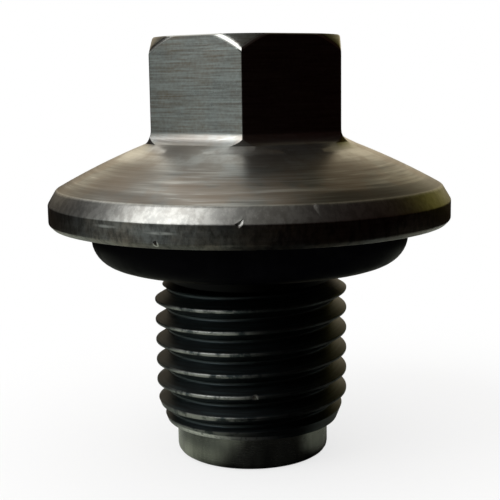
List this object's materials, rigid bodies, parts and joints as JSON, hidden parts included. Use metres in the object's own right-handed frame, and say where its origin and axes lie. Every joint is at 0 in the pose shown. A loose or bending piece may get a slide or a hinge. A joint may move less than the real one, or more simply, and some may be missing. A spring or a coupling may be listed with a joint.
{
  "type": "oil drain plug",
  "caption": "Oil drain plug: hex head on a coned flange, rubber seal ring under it, threaded shank with a plain pilot tip.",
  "frame": {"origin": "centre of the pilot tip's flat end face, on the plug's axis", "axes": "+Z along the plug's axis from the pilot tip to the hex head; the hex has corners towards +Y and -Y and flats towards +X and -X"},
  "size_m": [0.0286, 0.0286, 0.03],
  "materials": {
    "blackened_steel": "turned steel, blackened, worn bright on the bevel and the thread crests",
    "black_rubber": "smooth moulded black rubber"
  },
  "bodies": {
    "root": {"plug_body": "blackened_steel", "seal_ring": "black_rubber"}
  },
  "joints": []
}
